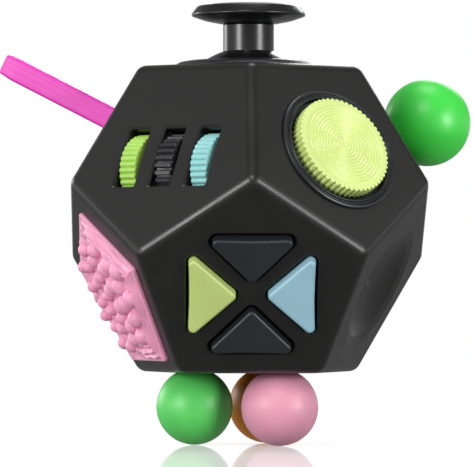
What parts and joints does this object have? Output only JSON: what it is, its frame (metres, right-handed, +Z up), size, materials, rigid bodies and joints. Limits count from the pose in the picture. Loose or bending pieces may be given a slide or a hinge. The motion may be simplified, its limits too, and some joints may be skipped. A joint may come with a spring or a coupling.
{
  "type": "fidget toy",
  "caption": "Twelve-sided desk fidget toy with joystick, gear rollers, dial, buttons, bumpy pad, worry dish, strap, soft balls, rocker, spinner and slider.",
  "frame": {"origin": "centre of the plane that the three small balls stand on, under the middle of the casing", "axes": "+Z up through the joystick; the face with the four triangular buttons looks towards -Y; +X is towards the large ball"},
  "size_m": [0.0736, 0.0568, 0.0676],
  "materials": {
    "casing_plastic": "satin moulded",
    "bezel_plastic": "satin moulded",
    "joystick_plastic": "smooth moulded",
    "grip_rubber": "fine matt",
    "inner_plastic": "moulded",
    "clear_silicone": "soft moulded",
    "green_roller_plastic": "moulded",
    "black_roller_plastic": "moulded",
    "blue_roller_plastic": "moulded",
    "axle_steel": "drawn",
    "dial_plastic": "moulded with fine rings",
    "screw_steel": "plated",
    "black_button_plastic": "moulded",
    "green_button_plastic": "moulded",
    "blue_button_plastic": "moulded",
    "pink_silicone": "soft matt",
    "magenta_silicone": "soft satin",
    "large_ball_silicone": "soft satin",
    "green_ball_silicone": "soft satin",
    "pink_ball_silicone": "soft satin",
    "orange_ball_silicone": "soft satin",
    "rocker_plastic": "moulded",
    "spinner_plastic": "moulded",
    "bearing_steel": "turned",
    "slider_plastic": "moulded"
  },
  "bodies": {
    "casing": {"upper_shell": "casing_plastic", "lower_shell": "casing_plastic", "joystick_bezel": "bezel_plastic", "joystick_socket": "inner_plastic", "joystick_return_boot": "clear_silicone", "roller_axle": "axle_steel", "roller_cradle": "inner_plastic", "dial_bezel": "bezel_plastic", "button_backplate": "inner_plastic", "button_dome_top": "clear_silicone", "button_dome_left": "clear_silicone", "button_dome_bottom": "clear_silicone", "button_dome_right": "clear_silicone", "texture_pad": "pink_silicone", "strap_anchor": "magenta_silicone", "strap_clamp": "inner_plastic", "side_ball_housing": "inner_plastic", "side_ball_sleeve": "clear_silicone", "foot_ball_sleeve_green": "clear_silicone", "foot_ball_sleeve_pink": "clear_silicone", "foot_ball_sleeve_orange": "clear_silicone", "foot_ball_plate": "inner_plastic", "rocker_frame": "bezel_plastic", "rocker_pin": "axle_steel", "spinner_axle": "axle_steel", "spinner_cap": "bezel_plastic", "slider_track": "bezel_plastic", "module_screws": "screw_steel"},
    "gimbal": {"joystick_gimbal_ring": "inner_plastic"},
    "stick": {"joystick_stem": "joystick_plastic", "joystick_cap": "joystick_plastic", "joystick_cap_pad": "grip_rubber"},
    "green_roller": {"roller_green": "green_roller_plastic"},
    "black_roller": {"roller_black": "black_roller_plastic"},
    "blue_roller": {"roller_blue": "blue_roller_plastic"},
    "dial": {"dial_disc": "dial_plastic", "dial_retainer": "inner_plastic", "dial_screw": "screw_steel"},
    "top_button": {"button_top": "black_button_plastic"},
    "left_button": {"button_left": "green_button_plastic"},
    "bottom_button": {"button_bottom": "black_button_plastic"},
    "right_button": {"button_right": "blue_button_plastic"},
    "strap": {"strap_tail": "magenta_silicone"},
    "large_ball": {"side_ball": "large_ball_silicone", "side_ball_stop": "inner_plastic"},
    "green_ball": {"foot_ball_green": "green_ball_silicone", "foot_ball_stop_green": "inner_plastic"},
    "pink_ball": {"foot_ball_pink": "pink_ball_silicone", "foot_ball_stop_pink": "inner_plastic"},
    "orange_ball": {"foot_ball_orange": "orange_ball_silicone", "foot_ball_stop_orange": "inner_plastic"},
    "rocker": {"rocker_paddle": "rocker_plastic"},
    "spinner": {"spinner_rotor": "spinner_plastic", "spinner_weights": "bearing_steel", "spinner_bearing": "bearing_steel"},
    "slider": {"slider_knob": "slider_plastic", "slider_foot": "inner_plastic"}
  },
  "joints": [
    {"name": "joystick_tilt_side", "type": "hinge", "parent": "casing", "child": "gimbal", "pos_m": [0, 0, 0.04882], "axis": [1, 0, 0], "range_deg": [-9, 9], "stiffness_Nm_per_rad": 0.02, "deforming": ["joystick_return_boot"]},
    {"name": "joystick_tilt_front", "type": "hinge", "parent": "gimbal", "child": "stick", "pos_m": [0, 0, 0.04882], "axis": [0, 1, 0], "range_deg": [-9, 9], "stiffness_Nm_per_rad": 0.02, "deforming": ["joystick_return_boot"]},
    {"name": "green_roller_turn", "type": "hinge", "parent": "casing", "child": "green_roller", "pos_m": [-0.01538, -0.01012, 0.04153], "axis": [0.809, -0.5878, 0], "continuous": true},
    {"name": "black_roller_turn", "type": "hinge", "parent": "casing", "child": "black_roller", "pos_m": [-0.01013, -0.01394, 0.04153], "axis": [0.809, -0.5878, 0], "continuous": true},
    {"name": "blue_roller_turn", "type": "hinge", "parent": "casing", "child": "blue_roller", "pos_m": [-0.00487, -0.01776, 0.04153], "axis": [0.809, -0.5878, 0], "continuous": true},
    {"name": "dial_turn", "type": "hinge", "parent": "casing", "child": "dial", "pos_m": [0.01303, -0.01658, 0.04468], "axis": [0.5257, -0.7236, 0.4472], "continuous": true},
    {"name": "top_button_press", "type": "slide", "parent": "casing", "child": "top_button", "axis": [0, 0.8944, 0.4472], "range_m": [0, 0.001], "stiffness_N_per_m": 500, "springref_m": -0.0006, "deforming": ["button_dome_top"]},
    {"name": "left_button_press", "type": "slide", "parent": "casing", "child": "left_button", "axis": [0, 0.8944, 0.4472], "range_m": [0, 0.001], "stiffness_N_per_m": 500, "springref_m": -0.0006, "deforming": ["button_dome_left"]},
    {"name": "bottom_button_press", "type": "slide", "parent": "casing", "child": "bottom_button", "axis": [0, 0.8944, 0.4472], "range_m": [0, 0.001], "stiffness_N_per_m": 500, "springref_m": -0.0006, "deforming": ["button_dome_bottom"]},
    {"name": "right_button_press", "type": "slide", "parent": "casing", "child": "right_button", "axis": [0, 0.8944, 0.4472], "range_m": [0, 0.001], "stiffness_N_per_m": 500, "springref_m": -0.0006, "deforming": ["button_dome_right"]},
    {"name": "strap_flick", "type": "hinge", "parent": "casing", "child": "strap", "pos_m": [-0.02015, 0.00655, 0.04982], "axis": [-0.309, -0.9511, 0], "range_deg": [-30, 30], "stiffness_Nm_per_rad": 0.004},
    {"name": "large_ball_press", "type": "slide", "parent": "casing", "child": "large_ball", "axis": [-0.8507, -0.2764, -0.4472], "range_m": [0, 0.0011], "stiffness_N_per_m": 600, "springref_m": -0.001, "deforming": ["side_ball_sleeve"]},
    {"name": "green_ball_press", "type": "slide", "parent": "casing", "child": "green_ball", "axis": [0, 0, 1], "range_m": [0, 0.0012], "stiffness_N_per_m": 600, "springref_m": -0.0015, "deforming": ["foot_ball_sleeve_green"]},
    {"name": "pink_ball_press", "type": "slide", "parent": "casing", "child": "pink_ball", "axis": [0, 0, 1], "range_m": [0, 0.0012], "stiffness_N_per_m": 600, "springref_m": -0.0015, "deforming": ["foot_ball_sleeve_pink"]},
    {"name": "orange_ball_press", "type": "slide", "parent": "casing", "child": "orange_ball", "axis": [0, 0, 1], "range_m": [0, 0.0012], "stiffness_N_per_m": 600, "springref_m": -0.0015, "deforming": ["foot_ball_sleeve_orange"]},
    {"name": "rocker_flip", "type": "hinge", "parent": "casing", "child": "rocker", "pos_m": [0, 0.02002, 0.04454], "axis": [-1, 0, 0], "range_deg": [-24, 0]},
    {"name": "spinner_turn", "type": "hinge", "parent": "casing", "child": "spinner", "pos_m": [-0.01229, 0.01692, 0.02408], "axis": [-0.5257, 0.7236, -0.4472], "continuous": true},
    {"name": "slider_slide", "type": "slide", "parent": "casing", "child": "slider", "axis": [-0.809, 0.5878, 0], "range_m": [-0.0032, 0.0032]}
  ]
}
